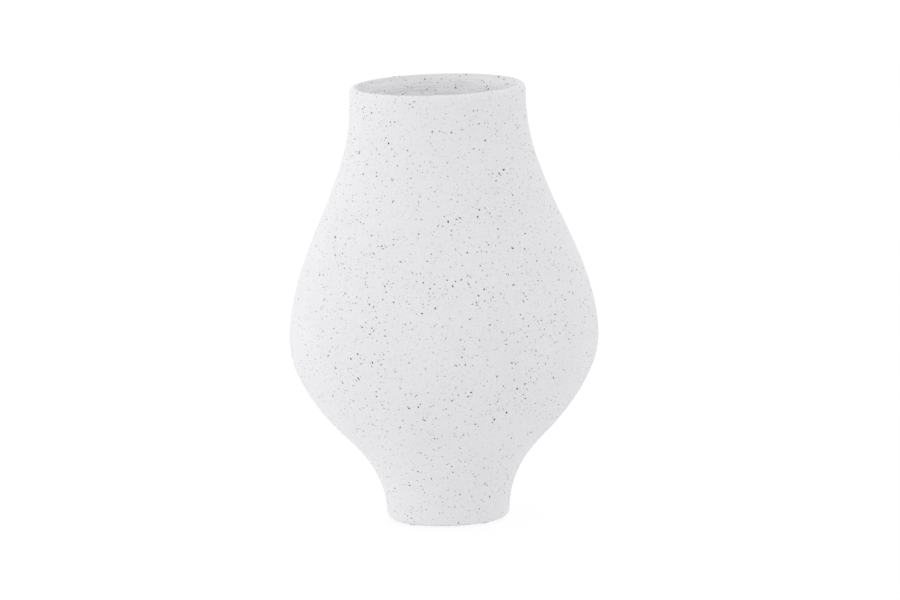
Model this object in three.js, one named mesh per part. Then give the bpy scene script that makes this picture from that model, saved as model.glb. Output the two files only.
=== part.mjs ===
// A speckled stoneware table vase: one fired pot standing on four silicone dots.
// Units are millimetres, +Z is up, and the origin is on the vase's axis at table height.

import * as THREE from 'three';

// ---------------------------------------------------------------- driving dimensions

const POT_HEIGHT = 250; // from the foot ring to the crest of the lip

// Stations of the outline, from the foot up to the neck. The outline leans outwards by
// `lean` degrees as it passes a station, and the reaches `below` and `above` say how firmly
// it holds that lean on each side.
const FOOT = { radius: 35.4, height: 3.8, lean: 0, above: 26.5 };
const WAIST = { radius: 62.5, height: 53.5, lean: 43, below: 12, above: 25 };
const BELLY = { radius: 88.5, height: 104, lean: 0, below: 13.5, above: 31.5 };
const SHOULDER = { radius: 66, height: 180, lean: -22, below: 14, above: 27 };
const NECK = { radius: 50.4, height: 243, lean: 0, below: 24.5 };

const LIP_OUTER_WIDTH = 2.8; // the lip rounds over outwards by this much
const LIP_OUTER_HEIGHT = 4.6;
const LIP_INNER_WIDTH = 1.8; // and inwards by this much, so their sum is the wall at the lip
const LIP_INNER_HEIGHT = 3.2;

const WALL_AT_FOOT = 5.8; // the wall thickens evenly on its way down
const FLOOR_THICKNESS = 7; // clay between the inside floor and the hollow under the base
const FLOOR_FLAT_RADIUS = 20; // the inside floor is flat out to here
const FLOOR_CORNER_TOP = 22; // and its corner has turned up into the wall at this height

const FOOT_EDGE_WIDTH = 2.6; // the foot's rounded bottom edge, measured across
const RING_INNER_RADIUS = 21; // the flat ring the pot stands on runs in to here
const RECESS_DEPTH = 2.4; // the hollow inside that ring
const RECESS_EDGE_WIDTH = 3; // and the run of its rounded edge

const DOT_COUNT = 4;
const DOT_RADIUS = 3.6;
const DOT_HEIGHT = 0.8;
const DOT_BEVEL = 0.25;
const ADHESIVE_FILM = 0.1; // the dots' glue, left as a gap

const TURN_STEPS = 48; // facets around the pot
const STRETCH_STEPS = 7; // facets along the wall between one station and the next
const CORNER_STEPS = 4; // facets across each rounded edge or corner
const DOT_TURN_STEPS = 24;

// ---------------------------------------------------------------- derived values

const WALL_AT_LIP = LIP_OUTER_WIDTH + LIP_INNER_WIDTH;
const CREST_RADIUS = NECK.radius - LIP_OUTER_WIDTH;
const RING_OUTER_RADIUS = FOOT.radius - FOOT_EDGE_WIDTH;
const FLOOR_HEIGHT = RECESS_DEPTH + FLOOR_THICKNESS;
const DOT_CIRCLE_RADIUS = (RING_INNER_RADIUS + RING_OUTER_RADIUS) / 2;

// ---------------------------------------------------------------- materials

const glaze = new THREE.MeshStandardMaterial({ color: 0xe9e7ea, roughness: 0.85, metalness: 0 });
const silicone = new THREE.MeshStandardMaterial({ color: 0xb4b7b8, roughness: 0.5, metalness: 0 });

// ---------------------------------------------------------------- outlines
// A point of an outline is a Vector2 of (radius, height).

function pointAt(station) {
  return new THREE.Vector2(station.radius, station.height);
}

// The way the outline runs as it passes a station on its way up.
function wayUp(station) {
  const lean = THREE.MathUtils.degToRad(station.lean);
  return new THREE.Vector2(Math.sin(lean), Math.cos(lean));
}

// The curve of the wall's outside from one station up to the next.
function wallStretch(lower, upper) {
  const leaving = pointAt(lower).addScaledVector(wayUp(lower), lower.above);
  const arriving = pointAt(upper).addScaledVector(wayUp(upper), -upper.below);
  return new THREE.CubicBezierCurve(pointAt(lower), leaving, arriving, pointAt(upper));
}

// Points up the outside of the wall, each with the way the wall runs there.
function outsideWall(stations) {
  const marks = [{ point: pointAt(stations[0]), up: wayUp(stations[0]) }];
  for (let index = 1; index < stations.length; index += 1) {
    const curve = wallStretch(stations[index - 1], stations[index]);
    for (let step = 1; step <= STRETCH_STEPS; step += 1) {
      const share = step / STRETCH_STEPS;
      marks.push({ point: curve.getPointAt(share), up: curve.getTangentAt(share) });
    }
  }
  return marks;
}

// The inside of the wall, from the neck down to the floor's corner. It is the outside moved
// inwards by the wall's thickness, which tapers evenly from the foot to the neck.
function insideWall(outside) {
  const points = outside.map(({ point, up }) => {
    const inwards = new THREE.Vector2(-up.y, up.x);
    const thickness = THREE.MathUtils.lerp(WALL_AT_FOOT, WALL_AT_LIP, point.y / NECK.height);
    return point.clone().addScaledVector(inwards, thickness);
  });
  return points.filter((point) => point.y > FLOOR_CORNER_TOP).reverse();
}

// A quarter of an ellipse, from one angle to another. Angle 0 points outwards, 90 points up.
function roundedEdge(centre, width, height, fromDegrees, toDegrees) {
  const points = [];
  for (let step = 0; step <= CORNER_STEPS; step += 1) {
    const degrees = THREE.MathUtils.lerp(fromDegrees, toDegrees, step / CORNER_STEPS);
    const angle = THREE.MathUtils.degToRad(degrees);
    const offset = new THREE.Vector2(width * Math.cos(angle), height * Math.sin(angle));
    points.push(offset.add(centre));
  }
  return points;
}

// The curved corner between the foot of the inside wall and the flat floor. Its control point
// is where the wall, carried straight on, would meet the floor.
function floorCorner(inside) {
  const wallEnd = inside.at(-1);
  const wallRun = wallEnd.clone().sub(inside.at(-2));
  const drop = (FLOOR_HEIGHT - wallEnd.y) / wallRun.y;
  const meeting = wallEnd.clone().addScaledVector(wallRun, drop);
  const floorEdge = new THREE.Vector2(FLOOR_FLAT_RADIUS, FLOOR_HEIGHT);
  const corner = new THREE.QuadraticBezierCurve(wallEnd, meeting, floorEdge);
  return corner.getPoints(CORNER_STEPS).slice(1);
}

// The pot's whole section: under the foot, up the outside, over the lip and down the inside.
function potOutline() {
  const outside = outsideWall([FOOT, WAIST, BELLY, SHOULDER, NECK]);
  const inside = insideWall(outside);
  const recessEdge = new THREE.Vector2(RING_INNER_RADIUS, RECESS_DEPTH);
  const footEdge = new THREE.Vector2(RING_OUTER_RADIUS, FOOT.height);
  const outerLip = new THREE.Vector2(CREST_RADIUS, POT_HEIGHT - LIP_OUTER_HEIGHT);
  const innerLip = new THREE.Vector2(CREST_RADIUS, POT_HEIGHT - LIP_INNER_HEIGHT);
  return [
    new THREE.Vector2(0, RECESS_DEPTH),
    ...roundedEdge(recessEdge, RECESS_EDGE_WIDTH, RECESS_DEPTH, 180, 270),
    ...roundedEdge(footEdge, FOOT_EDGE_WIDTH, FOOT.height, -90, 0),
    ...outside.slice(1).map(({ point }) => point),
    ...roundedEdge(outerLip, LIP_OUTER_WIDTH, LIP_OUTER_HEIGHT, 0, 90),
    ...roundedEdge(innerLip, LIP_INNER_WIDTH, LIP_INNER_HEIGHT, 90, 180).slice(1),
    ...inside,
    ...floorCorner(inside),
    new THREE.Vector2(0, FLOOR_HEIGHT),
  ];
}

// A flat disc with bevelled edges.
function dotOutline() {
  return [
    new THREE.Vector2(0, 0),
    new THREE.Vector2(DOT_RADIUS - DOT_BEVEL, 0),
    new THREE.Vector2(DOT_RADIUS, DOT_BEVEL),
    new THREE.Vector2(DOT_RADIUS, DOT_HEIGHT - DOT_BEVEL),
    new THREE.Vector2(DOT_RADIUS - DOT_BEVEL, DOT_HEIGHT),
    new THREE.Vector2(0, DOT_HEIGHT),
  ];
}

// ---------------------------------------------------------------- pieces

// A named solid, turned from its outline about the vertical axis.
function turned(name, outline, steps, material) {
  const geometry = new THREE.LatheGeometry(outline, steps);
  geometry.rotateX(Math.PI / 2);
  const mesh = new THREE.Mesh(geometry, material);
  mesh.name = name;
  return mesh;
}

const vase = new THREE.Group();

const pot = turned('vase_body', potOutline(), TURN_STEPS, glaze);
pot.position.z = DOT_HEIGHT + ADHESIVE_FILM; // the dots lift the pot off the table
vase.add(pot);

// The dots sit on the diagonals, so that none stands right under the front of the foot.
for (let index = 0; index < DOT_COUNT; index += 1) {
  const dot = turned(`foot_bumper_${index + 1}`, dotOutline(), DOT_TURN_STEPS, silicone);
  const turn = (2 * Math.PI * (index + 0.5)) / DOT_COUNT;
  dot.position.set(DOT_CIRCLE_RADIUS * Math.cos(turn), DOT_CIRCLE_RADIUS * Math.sin(turn), 0);
  vase.add(dot);
}

export default vase;
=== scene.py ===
# %% [markdown]
# # A speckled stoneware vase
#
# The object is one fired pot: a small tapered foot, a round belly with a quick turn under
# it, a long shoulder and a short upright neck with an open mouth. Its glaze is matt and
# nearly white, and grains of iron in the clay show through it as dark specks. It stands on
# four small silicone dots.
#
# The lesson goes the way a potter works: draw the outline, turn it on the wheel, leave the
# marks of the fingers in it, glaze it, and set it on a table in soft light.

# %% Load the frame that every piece is built around
from collections import namedtuple
from math import atan2, cos, pi, radians, sin

import bmesh
import bpy
from mathutils import Matrix, Vector, noise
from mathutils.geometry import interpolate_bezier


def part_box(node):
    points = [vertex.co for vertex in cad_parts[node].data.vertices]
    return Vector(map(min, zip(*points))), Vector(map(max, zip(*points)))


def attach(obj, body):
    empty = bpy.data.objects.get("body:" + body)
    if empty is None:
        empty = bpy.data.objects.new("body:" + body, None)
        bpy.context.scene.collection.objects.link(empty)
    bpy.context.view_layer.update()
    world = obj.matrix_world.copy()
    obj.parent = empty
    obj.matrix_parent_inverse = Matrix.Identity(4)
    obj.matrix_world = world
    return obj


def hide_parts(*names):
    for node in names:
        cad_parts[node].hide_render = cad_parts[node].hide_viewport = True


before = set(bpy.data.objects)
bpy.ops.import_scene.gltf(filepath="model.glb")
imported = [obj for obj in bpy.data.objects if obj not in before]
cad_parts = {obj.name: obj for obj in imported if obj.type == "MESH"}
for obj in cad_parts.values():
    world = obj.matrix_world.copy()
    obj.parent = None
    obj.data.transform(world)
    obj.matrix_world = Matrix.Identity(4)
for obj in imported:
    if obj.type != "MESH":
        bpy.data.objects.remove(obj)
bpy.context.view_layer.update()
pot_low, pot_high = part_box("vase_body")
print("pot stands from", round(pot_low.z, 4), "to", round(pot_high.z, 4), "m")

# %% Measure the pot, in millimetres
MILLIMETRE = 0.001

pot_height = round((pot_high.z - pot_low.z) / MILLIMETRE, 1)
belly_radius = round((pot_high.x - pot_low.x) / 2 / MILLIMETRE, 1)
print("pot is", pot_height, "mm high and", 2 * belly_radius, "mm across the belly")

# %% [markdown]
# ## The camera
#
# A vase is best seen from far away through a long lens, because a near camera would make
# the foot look smaller than it is. The eye is a little above the mouth, so that a narrow
# ellipse of the inside shows. The camera is also rolled by a degree and a half, and its aim
# is a few millimetres to the right of the vase's axis.

# %% Make the camera
VIEW_DISTANCE = 4.17  # metres from the lens to the middle of the vase
VIEW_ELEVATION = radians(9.27)
VIEW_ROLL = radians(1.52)
AIM_BESIDE_AXIS = 0.0041
AIM_ABOVE_MIDDLE = 0.0004
LENS = 291.4  # millimetres, on a 36 mm sensor

middle = (pot_low + pot_high) / 2
aim = middle + Vector((AIM_BESIDE_AXIS, 0, AIM_ABOVE_MIDDLE))
backwards = Vector((0, -cos(VIEW_ELEVATION), sin(VIEW_ELEVATION)))

camera_data = bpy.data.cameras.new("camera")
camera_data.lens = LENS
camera = bpy.data.objects.new("camera", camera_data)
bpy.context.scene.collection.objects.link(camera)
camera.location = aim + backwards * VIEW_DISTANCE
level_view = backwards.to_track_quat("Z", "Y").to_matrix()
camera.rotation_euler = (level_view @ Matrix.Rotation(-VIEW_ROLL, 3, "Z")).to_euler()
bpy.context.scene.camera = camera
print("camera is", round(camera.location.z, 3), "m above the table")

# %% [markdown]
# ## The outline of the pot
#
# On the real pot the outline is the curve that the potter's rib follows up the outside.
# It could be traced point by point, but a pot has only a few places where its shape is
# decided: foot, waist, belly, shoulder and neck. Each one is a station with a radius, a
# height and a lean, and a Bezier curve joins it to the next, so the line is as smooth as
# the real one. The reaches say how firmly the curve holds its lean on each side of the
# station. Everything here is in millimetres, measured from the foot ring. It turns into
# metres at the very end. The height and the widest radius come from the frame.

# %% Set down the stations
Station = namedtuple("Station", "radius height lean reach_below reach_above")

FOOT = Station(radius=35.2, height=4.2, lean=2, reach_below=0, reach_above=26.5)
WAIST = Station(radius=62.5, height=53.5, lean=43, reach_below=12, reach_above=25)
BELLY = Station(radius=belly_radius, height=104, lean=0, reach_below=13.5, reach_above=31.5)
SHOULDER = Station(radius=66, height=180, lean=-22, reach_below=14, reach_above=27)
NECK = Station(radius=50.4, height=243, lean=0, reach_below=24.5, reach_above=0)
STATIONS = (FOOT, WAIST, BELLY, SHOULDER, NECK)
print("outline passes", len(STATIONS), "stations")

# %% Set down the small edges and the thickness of the clay
FOOT_EDGE_WIDTH = 3.4
RING_INNER_RADIUS = 21
RECESS_DEPTH = 2.4
RECESS_EDGE_WIDTH = 3
LIP_OUTER_WIDTH = 2.8
LIP_OUTER_HEIGHT = 3.8
LIP_INNER_WIDTH = 1.8
LIP_INNER_HEIGHT = 3.2
WALL_AT_FOOT = 5.8
FLOOR_HEIGHT = 9.4
FLOOR_FLAT_RADIUS = 20
FLOOR_CORNER_TOP = 22

wall_at_lip = LIP_OUTER_WIDTH + LIP_INNER_WIDTH
print("clay is", WALL_AT_FOOT, "mm thick at the foot and", round(wall_at_lip, 1), "at the lip")

# %% Join two stations with a smooth stretch
FINE_STEPS = 400  # points in one stretch, before they are spread evenly


def on_outline(radius, height):
    """A point of the outline, which is drawn in the XZ plane."""
    return Vector((radius, 0, height))


def leaning(station):
    """The direction in which the outline passes a station."""
    return on_outline(sin(radians(station.lean)), cos(radians(station.lean)))


def stretch(lower, upper):
    """Many points along the curve from one station up to the next."""
    start = on_outline(lower.radius, lower.height)
    end = on_outline(upper.radius, upper.height)
    leaving = start + leaning(lower) * lower.reach_above
    arriving = end - leaning(upper) * upper.reach_below
    return interpolate_bezier(start, leaving, arriving, end, FINE_STEPS)


def evenly(points, spacing):
    """The same line, with its points about one spacing apart."""
    lengths = [0]
    for before, after in zip(points, points[1:]):
        lengths.append(lengths[-1] + (after - before).length)
    count = max(2, round(lengths[-1] / spacing))
    even, index = [], 0
    for step in range(count + 1):
        wanted = lengths[-1] * step / count
        while index < len(points) - 2 and lengths[index + 1] < wanted:
            index += 1
        share = (wanted - lengths[index]) / (lengths[index + 1] - lengths[index])
        even.append(points[index].lerp(points[index + 1], share))
    return even

# %% Draw the wall, outside and inside
OUTSIDE_SPACING = 0.95  # close enough to carry the marks of turning
MOUTH_INSIDE_SPACING = 0.36  # the inside of the mouth has the finest marks
LOWER_INSIDE_SPACING = 2.0  # nobody sees far down inside
MOUTH_DEPTH = 42  # and this far down the fine marks are made

wall = [point for pair in zip(STATIONS, STATIONS[1:]) for point in stretch(*pair)[:-1]]
wall.append(on_outline(NECK.radius, NECK.height))


def inwards_at(line, index):
    """The direction from the outside of the wall into the clay."""
    run = line[min(index + 1, len(line) - 1)] - line[max(index - 1, 0)]
    return on_outline(-run.z, run.x).normalized()


def wall_thickness(height):
    """The wall thins evenly from the foot to the neck."""
    return WALL_AT_FOOT + (wall_at_lip - WALL_AT_FOOT) * height / NECK.height


inner_wall = []
for index, point in enumerate(wall):
    inner_wall.append(point + inwards_at(wall, index) * wall_thickness(point.z))
inner_wall = [point for point in inner_wall if point.z > FLOOR_CORNER_TOP][::-1]

mouth_end = next(i for i, point in enumerate(inner_wall) if point.z < NECK.height - MOUTH_DEPTH)
outside = evenly(wall, OUTSIDE_SPACING)
mouth_inside = evenly(inner_wall[: mouth_end + 1], MOUTH_INSIDE_SPACING)
lower_inside = evenly(inner_wall[mouth_end:], LOWER_INSIDE_SPACING)
print("wall points:", len(outside), "outside,", len(mouth_inside) + len(lower_inside), "inside")

# %% [markdown]
# ## The foot, the lip and the floor
#
# The wall now needs ends. The lip rolls over as the potter's wet leather leaves it, more
# outwards than inwards, so it is drawn as two quarter ellipses. The foot has a rounded
# edge, a flat ring to stand on and a shallow hollow inside that ring, which keeps a fired
# pot from rocking. Inside, the wall runs into the floor with a soft corner.

# %% Round the lip and the edges of the foot
EDGE_STEPS = 12


def rounded_edge(centre, width, height, start, end):
    """Part of an ellipse, between two angles in degrees: 0 is outwards and 90 is up."""
    turns = [start + (end - start) * step / EDGE_STEPS for step in range(EDGE_STEPS + 1)]
    return [centre + on_outline(width * cos(a), height * sin(a)) for a in map(radians, turns)]


crest_radius = NECK.radius - LIP_OUTER_WIDTH
outer_lip_centre = on_outline(crest_radius, pot_height - LIP_OUTER_HEIGHT)
outer_lip = rounded_edge(outer_lip_centre, LIP_OUTER_WIDTH, LIP_OUTER_HEIGHT, 0, 90)
inner_lip_centre = on_outline(crest_radius, pot_height - LIP_INNER_HEIGHT)
inner_lip = rounded_edge(inner_lip_centre, LIP_INNER_WIDTH, LIP_INNER_HEIGHT, 90, 180)

ring_outer_radius = FOOT.radius - FOOT_EDGE_WIDTH
foot_centre = on_outline(ring_outer_radius, FOOT.height)
foot_edge = rounded_edge(foot_centre, FOOT_EDGE_WIDTH, FOOT.height, -90, 0)
recess_centre = on_outline(RING_INNER_RADIUS, RECESS_DEPTH)
recess_edge = rounded_edge(recess_centre, RECESS_EDGE_WIDTH, RECESS_DEPTH, 180, 270)
print("foot ring is", round(ring_outer_radius - RING_INNER_RADIUS, 1), "mm wide")

# %% Lay the flat parts, and the corner between wall and floor
RECESS_SPACING = 2
RING_SPACING = 1.5
FLOOR_SPACING = 2.5
CORNER_STEPS = 16
CORNER_PULL = 2 / 3  # how far the curve's handles reach towards the sharp corner


def straight(start, end, spacing):
    """A straight stretch, divided into short steps."""
    return evenly([start, end], spacing)


def soft_corner(before, start, end):
    """A curve that carries on from the wall and lands flat on the floor."""
    run = start - before
    meeting = start + run * ((end.z - start.z) / run.z)
    first = start.lerp(meeting, CORNER_PULL)
    second = end.lerp(meeting, CORNER_PULL)
    return interpolate_bezier(start, first, second, end, CORNER_STEPS)


recess = straight(on_outline(0, RECESS_DEPTH), recess_edge[0], RECESS_SPACING)
foot_ring = straight(recess_edge[-1], foot_edge[0], RING_SPACING)
floor_edge = on_outline(FLOOR_FLAT_RADIUS, FLOOR_HEIGHT)
inside_corner = soft_corner(inner_wall[-2], inner_wall[-1], floor_edge)
inside_floor = straight(floor_edge, on_outline(0, FLOOR_HEIGHT), FLOOR_SPACING)
print("inside corner rises", round(inside_corner[0].z - FLOOR_HEIGHT, 1), "mm to the wall")

# %% Join everything into one outline, from under the foot to the inside floor
SAME_POINT = 0.01  # millimetres


def joined(*stretches):
    """One line from many, without the points that two neighbours share."""
    line = []
    for points in stretches:
        line += [p for p in points if not line or (p - line[-1]).length > SAME_POINT]
    return line


under_foot = joined(recess, recess_edge, foot_ring, foot_edge)
lip = joined(outer_lip, inner_lip)
floor_inside = joined(inside_corner, inside_floor)
pot_outline = joined(under_foot, outside, lip, mouth_inside, lower_inside, floor_inside)
print("outline has", len(pot_outline), "points")

# %% [markdown]
# ## Turn it on the wheel
#
# A pot is a solid of revolution, and Blender has a wheel of its own: the spin operator
# sweeps an outline about an axis and joins the last turn to the first. The Screw modifier
# would do the same, but the marks made afterwards need real points to move. The points on
# the axis land on top of each other and are merged, which closes the two poles. After that
# the faces are made to look outwards.

# %% Spin the outline into a closed pot
WHEEL_STEPS = 160
MERGE_DISTANCE = 0.001  # millimetres

pot_mesh = bmesh.new()
points = [pot_mesh.verts.new(point) for point in pot_outline]
for before, after in zip(points, points[1:]):
    pot_mesh.edges.new((before, after))
bmesh.ops.spin(
    pot_mesh,
    geom=pot_mesh.verts[:] + pot_mesh.edges[:],
    cent=(0, 0, 0),
    axis=(0, 0, 1),
    angle=2 * pi,
    steps=WHEEL_STEPS,
    use_merge=True,
)
bmesh.ops.remove_doubles(pot_mesh, verts=pot_mesh.verts, dist=MERGE_DISTANCE)
bmesh.ops.recalc_face_normals(pot_mesh, faces=pot_mesh.faces)
open_edges = sum(not edge.is_manifold for edge in pot_mesh.edges)
print("pot has", len(pot_mesh.faces), "faces and", open_edges, "open edges")

# %% [markdown]
# ## The marks of the hand
#
# A turned solid is too perfect for a pot. Four things tell the eye that hands made it. The
# rib leaves a fine spiral inside the neck, where nobody sands it away. The outside was
# smoothed with a sponge, so it has only slow swells and is a hair's breadth oval. The pot
# leaned as it dried, so its middle stands a fraction of a millimetre off the axis. And the
# lip isn't quite level. All of these are smaller than half a millimetre. They could be bump
# in the material, but as moved points they also show in the outline of the pot. The same
# pass notes which points are inside the pot: there a whiter colour is painted light, for the
# light that falls in through the mouth.

# %% Two shapes that the marks are made with
def rise(low, high, value):
    """0 below low, 1 above high, with a smooth climb between them."""
    share = min(1, max(0, (value - low) / (high - low)))
    return share * share * (3 - 2 * share)


def hill(middle, width, value):
    """1 at the middle, falling smoothly to 0 at one width on either side."""
    return 1 - rise(0, width, abs(value - middle))


print("halfway up a climb the share is", rise(0, 2, 1))

# %% The rib's spiral and the sponge's swells
SPIRAL_PITCH = 1.45  # millimetres climbed in one turn of the wheel
SPIRAL_DEPTH = 0.06
SPIRAL_PRESSURE = 0.6  # on average, where 1 is the full depth
PRESSURE_HEIGHT = 4  # the pressure changes over about this height
SWELL_DEPTH = 0.06
SWELL_HEIGHT = 9  # one swell is about this tall
SWELLS_AROUND = 0.8  # the larger, the more swells there are around the pot
OVAL = 0.12  # the pot is this much wider one way than the other
OVAL_TURN = 0.7  # radians


def spiral_mark(angle, height):
    """The rib's spiral, pressed harder in some turns than in others."""
    at = Vector((cos(angle), sin(angle), height / PRESSURE_HEIGHT))
    pressure = SPIRAL_PRESSURE + noise.noise(at)
    return SPIRAL_DEPTH * pressure * sin(2 * pi * height / SPIRAL_PITCH + angle)


def slow_swell(angle, height):
    """The uneven pressure of a sponge, which changes more up the pot than round it."""
    at = Vector((SWELLS_AROUND * cos(angle), SWELLS_AROUND * sin(angle), height / SWELL_HEIGHT))
    return SWELL_DEPTH * noise.noise(at) + OVAL * cos(2 * angle + OVAL_TURN) / 2


print("the sponge moved the belly by", round(slow_swell(0, BELLY.height), 3), "mm at the right")

# %% The lean of the pot, and which side of the wall is the inside
LEAN_TO_LEFT = 0.35
LEFT_MIDDLE, LEFT_REACH = 58, 52  # most at this height, and none this far from it
LEAN_TO_RIGHT = 0.2
RIGHT_MIDDLE, RIGHT_REACH = 122, 50
INWARDS = (0.05, 0.6)  # from where a face counts as looking inwards, to where it's certain
UNDERSIDE_TOP = RECESS_DEPTH + 1  # what is lower than this is under the pot


def sideways_lean(height):
    """How far the middle of the pot stands to the right of its axis at a height."""
    to_left = LEAN_TO_LEFT * hill(LEFT_MIDDLE, LEFT_REACH, height)
    return LEAN_TO_RIGHT * hill(RIGHT_MIDDLE, RIGHT_REACH, height) - to_left


def inside_share(vert, outwards, height):
    """1 on the inner wall, which looks inwards, and on the inside floor, which looks up."""
    if height < UNDERSIDE_TOP:
        return 0
    if height < FLOOR_CORNER_TOP and vert.normal.z > 0:
        return 1
    return rise(*INWARDS, -vert.normal.dot(outwards))


print("the waist leans", round(-sideways_lean(LEFT_MIDDLE), 2), "mm to the left")

# %% Press the marks into the clay, and note where the inside gets painted light
SWELLS_START = (1, 14)  # each pair of heights is where something begins and is complete
SPIRAL_STARTS = (198, 212)
SPIRAL_STOPS = (245, 248)
TILT_STARTS = (185, 245)
LIP_TILT = radians(0.3)
PAINTED_LIGHT_FADE = 3.2  # millimetres over which the painted light inside fades out at the lip

painted_light_layer = pot_mesh.verts.layers.float.new("painted_light")
for vert in pot_mesh.verts:
    radius, height = vert.co.xy.length, vert.co.z
    angle = atan2(vert.co.y, vert.co.x)
    outwards = Vector((cos(angle), sin(angle), 0))
    off_axis = rise(0, FLOOR_FLAT_RADIUS, radius)
    move = slow_swell(angle, height) * rise(*SWELLS_START, height) * off_axis
    inside = inside_share(vert, outwards, height)
    # the inside is marked for painted light, which fades out towards the lip
    vert[painted_light_layer] = inside * (1 - rise(pot_height - PAINTED_LIGHT_FADE, pot_height, height))
    in_mouth = rise(*SPIRAL_STARTS, height) * (1 - rise(*SPIRAL_STOPS, height))
    move += spiral_mark(angle, height) * in_mouth * inside
    vert.co += outwards * move
    vert.co.x += sideways_lean(height)
    vert.co.z += radius * cos(angle) * LIP_TILT * rise(*TILT_STARTS, height)
# count the points that get the painted light inside
print(sum(vert[painted_light_layer] > 0.5 for vert in pot_mesh.verts), "points get the liner glaze")

# %% [markdown]
# ## From clay to object
#
# The pot was turned in millimetres about its own foot. Blender and the frame work in
# metres, so the mesh is scaled once, and lifted to where the frame says that the pot
# stands. The scale and the lift go into the mesh: the object stays at the origin, and the
# glaze, which reads the object's own coordinates, can't slide on it.

# %% Scale and place the pot
def as_object(name, mesh):
    """A smooth-shaded object at the origin, made from a finished mesh."""
    data = bpy.data.meshes.new(name)
    mesh.to_mesh(data)
    mesh.free()
    data.shade_smooth()
    made = bpy.data.objects.new(name, data)
    bpy.context.scene.collection.objects.link(made)
    return made


bmesh.ops.scale(pot_mesh, verts=pot_mesh.verts, vec=Vector((1, 1, 1)) * MILLIMETRE)
bmesh.ops.translate(pot_mesh, verts=pot_mesh.verts, vec=(0, 0, pot_low.z))
pot = as_object("vase_pot", pot_mesh)
print("pot is", [round(size / MILLIMETRE, 2) for size in pot.dimensions], "mm")

# %% [markdown]
# ## The silicone dots
#
# A dry foot ring is as rough as fine sandpaper, so vases are sold with small clear-grey
# bumpers under them. Each one is a moulded disc on a film of glue. A cylinder is the start:
# its edges are bevelled, a shallow dish is sunk in the face that meets the table, as the
# mould leaves it, and a thin neck of glue is drawn up from the other face to the clay.

# %% Start a dot from a cylinder, at the place that the frame gives
DOT_SEGMENTS = 64
DOT_BEVEL = 0.25
BEVEL_SEGMENTS = 4


def rounded_disc(node):
    """A cylinder that fills the box of a node, with both of its rims rounded."""
    low, high = (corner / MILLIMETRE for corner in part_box(node))
    mesh = bmesh.new()
    radius = (high.x - low.x) / 2
    bmesh.ops.create_cone(
        mesh,
        cap_ends=True,
        segments=DOT_SEGMENTS,
        radius1=radius,
        radius2=radius,
        depth=high.z - low.z,
        matrix=Matrix.Translation((low + high) / 2),
    )
    rims = [e for e in mesh.edges if abs(e.verts[0].co.z - e.verts[1].co.z) < SAME_POINT]
    bmesh.ops.bevel(
        mesh,
        geom=rims,
        offset=DOT_BEVEL,
        affect="EDGES",
        segments=BEVEL_SEGMENTS,
        profile=0.5,
        material=-1,
    )
    return mesh

# %% Sink the dish, draw up the glue, and make all four
DOT_RIM = 0.9  # the flat rim around the dish
DISH_DEPTH = 0.12
GLUE_INSET = 0.35
GLUE_THICKNESS = 0.08
LEVEL = 0.99  # a face with more than this of its normal upright is a flat end


def rim_and_face(mesh, upwards, inset):
    """Insets the end that looks up, or down, and returns the inner face."""
    face = max(mesh.faces, key=lambda f: f.calc_area() * (f.normal.z * upwards > LEVEL))
    bmesh.ops.inset_region(mesh, faces=[face], thickness=inset, use_even_offset=True)
    return face


def silicone_dot(name, node):
    """One bumper, as an object in metres."""
    mesh = rounded_disc(node)
    dish = rim_and_face(mesh, -1, DOT_RIM)
    bmesh.ops.translate(mesh, verts=dish.verts, vec=(0, 0, DISH_DEPTH))
    glue = rim_and_face(mesh, 1, GLUE_INSET)
    drawn = bmesh.ops.extrude_discrete_faces(mesh, faces=[glue])["faces"][0]
    bmesh.ops.translate(mesh, verts=drawn.verts, vec=(0, 0, GLUE_THICKNESS))
    bmesh.ops.scale(mesh, verts=mesh.verts, vec=Vector((1, 1, 1)) * MILLIMETRE)
    return as_object(name, mesh)


dots = []
for number in range(1, 5):
    dots.append(silicone_dot(f"silicone_dot_{number}", f"foot_bumper_{number}"))
print("moulded", len(dots), "dots,", round(dots[0].dimensions.x / MILLIMETRE, 1), "mm across")

# %% [markdown]
# ## A few words for making finishes
#
# Every finish below is a net of nodes that reads the object's own coordinates, in metres.
# Writing each link out by hand would bury the idea, so a few short helpers do it. They
# start a finish, add a node and link what feeds it, do sums, and make the soft noise, the
# smooth climb and the mix of two colours that all the finishes use.

# %% Helpers for node nets
def new_finish(name, roughness, specular):
    """A material with only its shader, and the object's coordinates to work from."""
    finish = bpy.data.materials.new(name)
    finish.use_nodes = True
    shader = finish.node_tree.nodes["Principled BSDF"]
    shader.inputs["Roughness"].default_value = roughness
    shader.inputs["Specular IOR Level"].default_value = specular
    coordinates = finish.node_tree.nodes.new("ShaderNodeTexCoord")
    return finish, shader, coordinates.outputs["Object"]


def feed(finish, socket, source):
    """Links a socket to the socket that feeds it, or sets its value."""
    if isinstance(source, bpy.types.NodeSocket):
        finish.node_tree.links.new(source, socket)
    else:
        socket.default_value = source


def add_node(finish, kind, sources, **settings):
    """A new node, set up and fed."""
    node = finish.node_tree.nodes.new(kind)
    for name, value in settings.items():
        setattr(node, name, value)
    for name, source in sources.items():
        feed(finish, node.inputs[name], source)
    return node


def sums(finish, operation, *terms):
    """The result of one sum between numbers and sockets."""
    node = add_node(finish, "ShaderNodeMath", dict(enumerate(terms)), operation=operation)
    return node.outputs["Value"]


def cloud(finish, place, per_metre, detail=2.0):
    """Soft noise with this many swells in a metre. Its values lie around a half."""
    sources = {"Vector": place, "Scale": per_metre, "Detail": detail}
    return add_node(finish, "ShaderNodeTexNoise", sources)


def between(finish, value, start, end, at_start=0.0, at_end=1.0):
    """Goes smoothly from one result to the other as the value goes from start to end."""
    sources = {"Value": value, "From Min": start, "From Max": end}
    sources |= {"To Min": at_start, "To Max": at_end}
    node = add_node(finish, "ShaderNodeMapRange", sources, interpolation_type="SMOOTHSTEP")
    return node.outputs["Result"]


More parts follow.
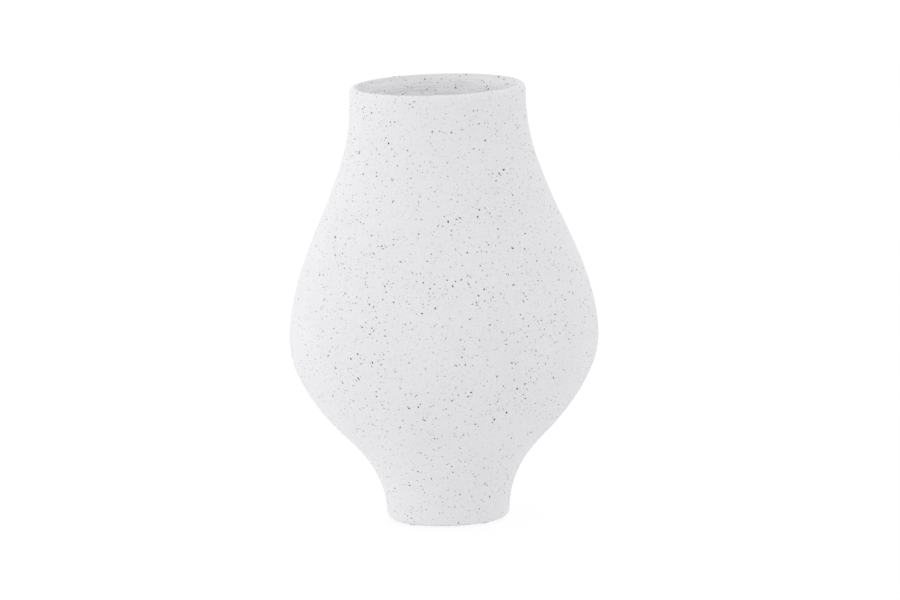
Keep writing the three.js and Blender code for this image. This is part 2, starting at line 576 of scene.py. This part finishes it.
def tinted(finish, share, below, above):
    """The first colour where the share is 0, and the second where it is 1."""
    node = add_node(finish, "ShaderNodeMix", {"Factor": share}, data_type="RGBA")
    colours = [socket for socket in node.inputs if socket.type == "RGBA"]
    for socket, colour in zip(colours, (below, above)):
        feed(finish, socket, colour)
    return next(socket for socket in node.outputs if socket.type == "RGBA")

# %% [markdown]
# ## The iron in the clay
#
# Speckled stoneware has grains of iron mixed all through it. A grain shows where the
# surface happens to cut it, so a speck is wide when the grain is cut through the middle and
# tiny when it is only grazed. Painting dots on the surface would give them all one size.
# Voronoi cells in space do what the clay does: each cell has one point, a small ball about
# that point is the grain, and the pot's surface cuts the balls it meets. The cell's own
# random colour gives each ball its size.

# %% Balls of iron, cut by the surface
Grain = namedtuple("Grain", "per_metre smallest largest blur")
RARITY = 3.0  # the higher, the fewer of the grains are large


def grains(finish, place, kind):
    """1 in the grains and 0 between them, and three chances that each grain keeps.

    The radii are in millimetres, and most grains are near the smallest one."""
    sources = {"Vector": place, "Scale": kind.per_metre}
    cells = add_node(finish, "ShaderNodeTexVoronoi", sources)
    chances = add_node(finish, "ShaderNodeSeparateColor", {"Color": cells.outputs["Color"]})
    one_millimetre = kind.per_metre * MILLIMETRE
    growth = sums(finish, "POWER", chances.outputs["Red"], RARITY)
    growth = sums(finish, "MULTIPLY", growth, (kind.largest - kind.smallest) * one_millimetre)
    radius = sums(finish, "ADD", growth, kind.smallest * one_millimetre)
    core = sums(finish, "MULTIPLY", radius, 1 - kind.blur)
    rim = sums(finish, "MULTIPLY", radius, 1 + kind.blur)
    return between(finish, cells.outputs["Distance"], core, rim, 1.0, 0.0), chances.outputs

# %% Throw the grains about
NOISE_MIDDLE = (0.5, 0.5, 0.5)  # its red, green and blue lie around a half


def thrown_aside(finish, place, per_metre, throw):
    """The same place, moved aside at random by up to about this many millimetres."""
    sources = {0: cloud(finish, place, per_metre).outputs["Color"], 1: NOISE_MIDDLE}
    centred = add_node(finish, "ShaderNodeVectorMath", sources, operation="SUBTRACT")
    sources = {0: centred.outputs["Vector"], "Scale": 2 * throw * MILLIMETRE}
    scaled = add_node(finish, "ShaderNodeVectorMath", sources, operation="SCALE")
    sources = {0: place, 1: scaled.outputs["Vector"]}
    return add_node(finish, "ShaderNodeVectorMath", sources, operation="ADD").outputs["Vector"]

# %% [markdown]
# ## Specks, pepper and clouds
#
# Grains near the surface show nearly black, a fine pepper of iron dust is fainter, and
# deeper grains are only soft grey clouds under the glaze. A few have bled rust. The clay was
# wedged, that is kneaded like dough, so its grains lie in drifts and gaps: their place is
# turned and pulled about before the balls are looked up. A second, finer throw makes each
# outline ragged. All three layers are made by the one helper, without a painted map.

# %% Sizes and colours of the iron
SPECKS = Grain(per_metre=568, smallest=0.16, largest=0.52, blur=0.22)
PEPPER = Grain(per_metre=860, smallest=0.08, largest=0.19, blur=0.3)
CLOUDS = Grain(per_metre=700, smallest=0.25, largest=0.58, blur=0.7)
SPECK_STRENGTH = (0.3, 1.0)  # the faintest and the strongest
CLOUD_STRENGTH = (0.12, 0.46)
PEPPER_STRENGTH = 0.4
RUSTY_FROM = 0.75  # the chance above which a grain has rusted
IRON = (0.021, 0.019, 0.019, 1)
RUST = (0.095, 0.066, 0.05, 1)
GREY_CLOUD = (0.52, 0.51, 0.515, 1)
print("specks are", 2 * SPECKS.smallest, "to", 2 * SPECKS.largest, "mm across")

# %% Wedge the clay
WEDGED_TURN = (0.7, 0.35, 0.5)  # radians, so that no row of cells lies level
WEDGED = {"per_metre": 110, "throw": 3.0}
RAGGED = {"per_metre": 4200, "throw": 0.09}
STREAKED = {"per_metre": 1300, "throw": 0.35}


def wedged_clay(finish, place):
    """Two places to look for grains: one for ragged specks and one for streaked clouds."""
    turned = add_node(finish, "ShaderNodeMapping", {"Vector": place, "Rotation": WEDGED_TURN})
    wedged = thrown_aside(finish, turned.outputs["Vector"], **WEDGED)
    return thrown_aside(finish, wedged, **RAGGED), thrown_aside(finish, wedged, **STREAKED)

# %% Put clouds, pepper and specks into a colour
def clouded(finish, colour, place):
    """The colour with deep, soft grey grains in it."""
    clouds, chances = grains(finish, place, CLOUDS)
    strength = between(finish, chances["Green"], 0.0, 1.0, *CLOUD_STRENGTH)
    return tinted(finish, sums(finish, "MULTIPLY", clouds, strength), colour, GREY_CLOUD)


def speckled(finish, colour, place):
    """The colour with pepper and specks of iron in it, and the specks alone."""
    specks, chances = grains(finish, place, SPECKS)
    pepper, _ = grains(finish, place, PEPPER)
    iron = tinted(finish, between(finish, chances["Green"], RUSTY_FROM, 1.0), IRON, RUST)
    colour = tinted(finish, sums(finish, "MULTIPLY", pepper, PEPPER_STRENGTH), colour, iron)
    strength = between(finish, chances["Blue"], 0.0, 1.0, *SPECK_STRENGTH)
    return tinted(finish, sums(finish, "MULTIPLY", specks, strength), colour, iron), specks

# %% [markdown]
# ## The glaze and the bare foot
#
# The glaze is a matt white slip glaze that was sprayed on. It isn't one flat white: it is a
# shade cooler where it is thick. It covers everything but the ring that the pot stood on in
# the kiln, which was wiped clean, so it ends in a slightly ragged line with bare, toasted
# clay below it. The inside is given a much whiter colour than the glaze: painted light, for
# the light that falls in through the mouth. It is slightly greyer along the rings of turning.
#
# All of this could be painted on an unwrapped map. Noise that reads the object's own
# coordinates needs no seams, and the height alone says where the bare foot begins.

# %% Colours of the glaze and the clay
GLAZE_THICK = (0.719, 0.711, 0.735, 1)
GLAZE_THIN = (0.744, 0.734, 0.749, 1)
# the two inside colours are painted light, whiter than the glaze; the greyer one runs along the
# rings
PAINTED_LIGHT_WHITE = (0.945, 0.94, 0.952, 1)
PAINTED_LIGHT_GREYER = (0.865, 0.86, 0.875, 1)
BARE_CLAY = (0.64, 0.625, 0.60, 1)
TOASTED_CLAY = (0.50, 0.465, 0.43, 1)

# %% Lay the glaze, and the painted light inside
FINE_SHARE = 0.6  # how much of the unevenness is fine, where the rest is slow
GLAZE_CONTRAST = (0.35, 0.65)  # the noise is stretched between these two
PAINTED_LIGHT_CONTRAST = (0.38, 0.55)
RINGS_STRETCH = (0.04, 0.04, 1)  # squeezes the noise flat, so that it runs round the pot


def turning_rings(finish, place):
    """Noise in thin level rings."""
    sources = {"Vector": place, "Scale": RINGS_STRETCH}
    squeezed = add_node(finish, "ShaderNodeMapping", sources).outputs["Vector"]
    return cloud(finish, squeezed, per_metre=1100, detail=1.0).outputs["Fac"]


def glaze_colour(finish, place, fine, rings, painted_light):
    """The white of the glaze, and inside the whiter painted light, where the painted_light
    attribute is 1.
    """
    thickness = cloud(finish, place, per_metre=38, detail=3.0).outputs["Fac"]
    slow = sums(finish, "MULTIPLY", thickness, 1 - FINE_SHARE)
    uneven = sums(finish, "MULTIPLY_ADD", fine, FINE_SHARE, slow)
    outside = tinted(finish, between(finish, uneven, *GLAZE_CONTRAST), GLAZE_THICK, GLAZE_THIN)
    # inside the pot the colour is painted light, greyer along the turning rings
    painted_light_colour = tinted(finish, between(finish, rings, *PAINTED_LIGHT_CONTRAST), PAINTED_LIGHT_GREYER, PAINTED_LIGHT_WHITE)
    return tinted(finish, painted_light, outside, painted_light_colour)

# %% Wipe the foot ring clean
WAVER = 0.9  # millimetres that the glaze line wanders up and down
GLAZE_LINE = (-0.05, 0.15)  # millimetres above the ring where the glaze begins
TOAST_LINE = (-0.5, 0.0)
TOAST_STRENGTH = 0.7
GROG_CONTRAST = (0.4, 0.75)


def above_ring(finish, level, heights):
    """0 below the first of two heights above the foot ring, and 1 above the second."""
    low, high = (pot_low.z + height * MILLIMETRE for height in heights)
    return between(finish, level, low, high)


def wiped_foot(finish, place, colour):
    """The colour with bare clay below the glaze line, and 1 where there is glaze."""
    height = add_node(finish, "ShaderNodeSeparateXYZ", {"Vector": place}).outputs["Z"]
    waver = cloud(finish, place, per_metre=160, detail=3.0).outputs["Fac"]
    level = sums(finish, "MULTIPLY_ADD", waver, -WAVER * MILLIMETRE, height)
    toast = sums(finish, "MULTIPLY", above_ring(finish, level, TOAST_LINE), TOAST_STRENGTH)
    gritty = cloud(finish, place, per_metre=1400, detail=4.0).outputs["Fac"]
    toasted = sums(finish, "MAXIMUM", toast, between(finish, gritty, *GROG_CONTRAST))
    clay = tinted(finish, toasted, BARE_CLAY, TOASTED_CLAY)
    glazed = above_ring(finish, level, GLAZE_LINE)
    return tinted(finish, glazed, clay, colour), glazed

# %% [markdown]
# ## How the surface feels
#
# A matt glaze is like an eggshell: light hardly shines on it, and only the grains are a
# little glossier, because iron melts the glaze around it into shallow pits. All the heights
# below are real ones, in millimetres, added up and given to one bump node. They are too
# fine to be worth real points.

# %% Heights of the fine relief, and roughness
EGGSHELL_HEIGHT = 0.008
GRIT_HEIGHT = 0.02
RING_HEIGHTS = (0.006, 0.06)  # outside, and inside the pot, where the light is painted
PIT_DEPTH = 0.03  # where iron has melted the glaze
GLAZE_STEP = 0.08  # from the bare clay up onto the glaze
MATT = (0.74, 0.88)  # the smoothest and the roughest glaze
FINE_CONTRAST = (0.3, 0.7)
SPECK_SHINE = 0.25  # how much smoother a speck is


def relief(finish, place, fine, rings, painted_light, specks, glazed):
    """The bumped surface, from all the small heights together."""
    eggshell = cloud(finish, place, per_metre=2400, detail=2.0).outputs["Fac"]
    height = sums(finish, "MULTIPLY", eggshell, EGGSHELL_HEIGHT * MILLIMETRE)
    height = sums(finish, "MULTIPLY_ADD", fine, GRIT_HEIGHT * MILLIMETRE, height)
    combed = sums(finish, "MULTIPLY", rings, between(finish, painted_light, 0.0, 1.0, *RING_HEIGHTS))
    height = sums(finish, "MULTIPLY_ADD", combed, MILLIMETRE, height)
    height = sums(finish, "MULTIPLY_ADD", specks, -PIT_DEPTH * MILLIMETRE, height)
    height = sums(finish, "MULTIPLY_ADD", glazed, GLAZE_STEP * MILLIMETRE, height)
    bump = add_node(finish, "ShaderNodeBump", {"Height": height, "Distance": 1.0})
    return bump.outputs["Normal"]

# %% Make the pot's finish and put it on
DRYNESS = 0.6  # a dry, powdery surface spreads its light more evenly than a wet one


def speckled_glaze():
    """The pot's one finish: glaze, the iron in it, and the bare clay under the foot."""
    finish, shader, place = new_finish("speckled_glaze", roughness=0.8, specular=0.3)
    shader.inputs["Diffuse Roughness"].default_value = DRYNESS
    fine = cloud(finish, place, per_metre=900, detail=3.0).outputs["Fac"]
    rings = turning_rings(finish, place)
    # the mask of the painted light inside the pot
    painted_light = add_node(finish, "ShaderNodeAttribute", {}, attribute_name="painted_light").outputs["Fac"]
    near, streaked = wedged_clay(finish, place)

    colour = glaze_colour(finish, place, fine, rings, painted_light)
    colour = clouded(finish, colour, streaked)
    colour, glazed = wiped_foot(finish, place, colour)
    colour, specks = speckled(finish, colour, near)
    feed(finish, shader.inputs["Base Color"], colour)

    matt = between(finish, fine, *FINE_CONTRAST, *MATT)
    shine = sums(finish, "MULTIPLY_ADD", specks, -SPECK_SHINE, matt)
    feed(finish, shader.inputs["Roughness"], shine)
    bumped = relief(finish, place, fine, rings, painted_light, specks, glazed)
    feed(finish, shader.inputs["Normal"], bumped)
    return finish


glaze = speckled_glaze()
pot.data.materials.append(glaze)
print("glaze uses", len(glaze.node_tree.nodes), "nodes")

# %% [markdown]
# ## The silicone
#
# Clear-grey silicone looks like frosted glass that is a little dusty. Real clear rubber
# would need light to pass through it, and that is hard to see under a foot. A satin grey
# with cloudy colour, a little light let in below the surface and fine mould texture says
# the same with less.

# %% Make the clear-grey silicone
CLEAR_GREY = (0.45, 0.46, 0.46, 1)
MILKY_GREY = (0.52, 0.53, 0.53, 1)
DUST_COLOUR = (0.75, 0.73, 0.7, 1)
DUST = Grain(per_metre=1500, smallest=0.03, largest=0.08, blur=0.3)
LOOSE = {"per_metre": 5000, "throw": 0.06}
DUST_STRENGTH = 0.6
DUST_ROUGHNESS = 0.3
MILKY_CONTRAST = (0.3, 0.7)
SATIN = (0.42, 0.58)  # the smoothest and the roughest silicone
MOULD_HEIGHT = 0.01
LIGHT_LET_IN = 0.25
LIGHT_DEPTH = 0.8  # millimetres that the light goes in


def clear_grey_silicone():
    """The dots' finish, with mould texture and a trace of dust."""
    finish, shader, place = new_finish("clear_grey_silicone", roughness=0.5, specular=0.4)
    shader.inputs["Subsurface Weight"].default_value = LIGHT_LET_IN
    shader.inputs["Subsurface Scale"].default_value = LIGHT_DEPTH * MILLIMETRE
    milky = cloud(finish, place, per_metre=420, detail=3.0).outputs["Fac"]
    cloudy = between(finish, milky, *MILKY_CONTRAST)
    colour = tinted(finish, cloudy, CLEAR_GREY, MILKY_GREY)
    dust, _ = grains(finish, thrown_aside(finish, place, **LOOSE), DUST)
    dusty = sums(finish, "MULTIPLY", dust, DUST_STRENGTH)
    feed(finish, shader.inputs["Base Color"], tinted(finish, dusty, colour, DUST_COLOUR))
    satin = between(finish, milky, *MILKY_CONTRAST, *SATIN)
    rough = sums(finish, "MULTIPLY_ADD", dust, DUST_ROUGHNESS, satin)
    feed(finish, shader.inputs["Roughness"], rough)
    mould = cloud(finish, place, per_metre=3000, detail=2.0).outputs["Fac"]
    height = sums(finish, "MULTIPLY", mould, MOULD_HEIGHT * MILLIMETRE)
    bump = add_node(finish, "ShaderNodeBump", {"Height": height, "Distance": 1.0})
    feed(finish, shader.inputs["Normal"], bump.outputs["Normal"])
    return finish


silicone = clear_grey_silicone()
for dot in dots:
    dot.data.materials.append(silicone)
print("silicone uses", len(silicone.node_tree.nodes), "nodes")

# %% [markdown]
# ## The table
#
# The vase stands on a pale sweep of paper that runs on out of sight. A wide flat disc is
# enough, as the lens is long and looks slightly down. It's made like a light table: a
# sheet that gives off light of its own, so that it stays white right up to the foot and
# hardly shows a shadow. White paper would throw too much of that light back under the
# belly, so the sheet itself is a dark grey, and its glow makes up the rest.

# %% Lay the table
TABLE_RADIUS = 7  # metres
TABLE_SEGMENTS = 128
PAPER_DARK = (0.15, 0.15, 0.15, 1)
PAPER_PALE = (0.17, 0.17, 0.17, 1)
WHITE = (1, 1, 1, 1)
TABLE_GLOW = 0.83

sweep = bmesh.new()
bmesh.ops.create_circle(sweep, cap_ends=True, segments=TABLE_SEGMENTS, radius=TABLE_RADIUS)
table = as_object("table", sweep)
paper, paper_shader, place = new_finish("pale_paper", roughness=0.9, specular=0.1)
fibres = cloud(paper, place, per_metre=300, detail=4.0).outputs["Fac"]
feed(paper, paper_shader.inputs["Base Color"], tinted(paper, fibres, PAPER_DARK, PAPER_PALE))
paper_shader.inputs["Emission Color"].default_value = WHITE
paper_shader.inputs["Emission Strength"].default_value = TABLE_GLOW
table.data.materials.append(paper)
print("table is", 2 * TABLE_RADIUS, "m across")

# %% [markdown]
# ## The light
#
# White pots look best in a tent of light: it comes from everywhere, with a large lamp at
# the left to give the belly its shape. The world is the tent. Two wide area lamps are
# the soft boxes: one low at the left and a weaker one at the front left, which carries the
# light softly round the belly. Blender's standard view keeps the whites white, where its
# film-like default would grey them.

# %% Put up the tent
TENT_STRENGTH = 1.115

tent = bpy.data.worlds.new("tent")
tent.use_nodes = True
tent.node_tree.nodes["Background"].inputs["Color"].default_value = WHITE
tent.node_tree.nodes["Background"].inputs["Strength"].default_value = TENT_STRENGTH
bpy.context.scene.world = tent

# %% Set the soft boxes
SoftBox = namedtuple("SoftBox", "name place width height watts")
SOFT_BOXES = (
    SoftBox("left_soft_box", place=(-1.6, -0.3, 0.27), width=1.3, height=0.5, watts=3.5),
    SoftBox("front_soft_box", place=(-1.3, -1.2, 0.45), width=1.3, height=0.8, watts=1.4),
)


def set_up(box):
    """A wide lamp that faces the middle of the vase and isn't seen itself."""
    data = bpy.data.lights.new(box.name, "AREA")
    data.shape = "RECTANGLE"
    data.size = box.width
    data.size_y = box.height
    data.energy = box.watts
    lamp = bpy.data.objects.new(box.name, data)
    bpy.context.scene.collection.objects.link(lamp)
    lamp.location = box.place
    lamp.rotation_euler = (lamp.location - middle).to_track_quat("Z", "Y").to_euler()
    lamp.visible_camera = False


for box in SOFT_BOXES:
    set_up(box)
    print(box.name, "gives", box.watts, "W")
bpy.context.scene.view_settings.view_transform = "Standard"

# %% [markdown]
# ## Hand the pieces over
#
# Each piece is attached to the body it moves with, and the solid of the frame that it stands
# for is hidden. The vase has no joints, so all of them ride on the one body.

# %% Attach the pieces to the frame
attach(pot, "root")
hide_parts("vase_body")
for number, dot in enumerate(dots, 1):
    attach(dot, "root")
    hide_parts(f"foot_bumper_{number}")
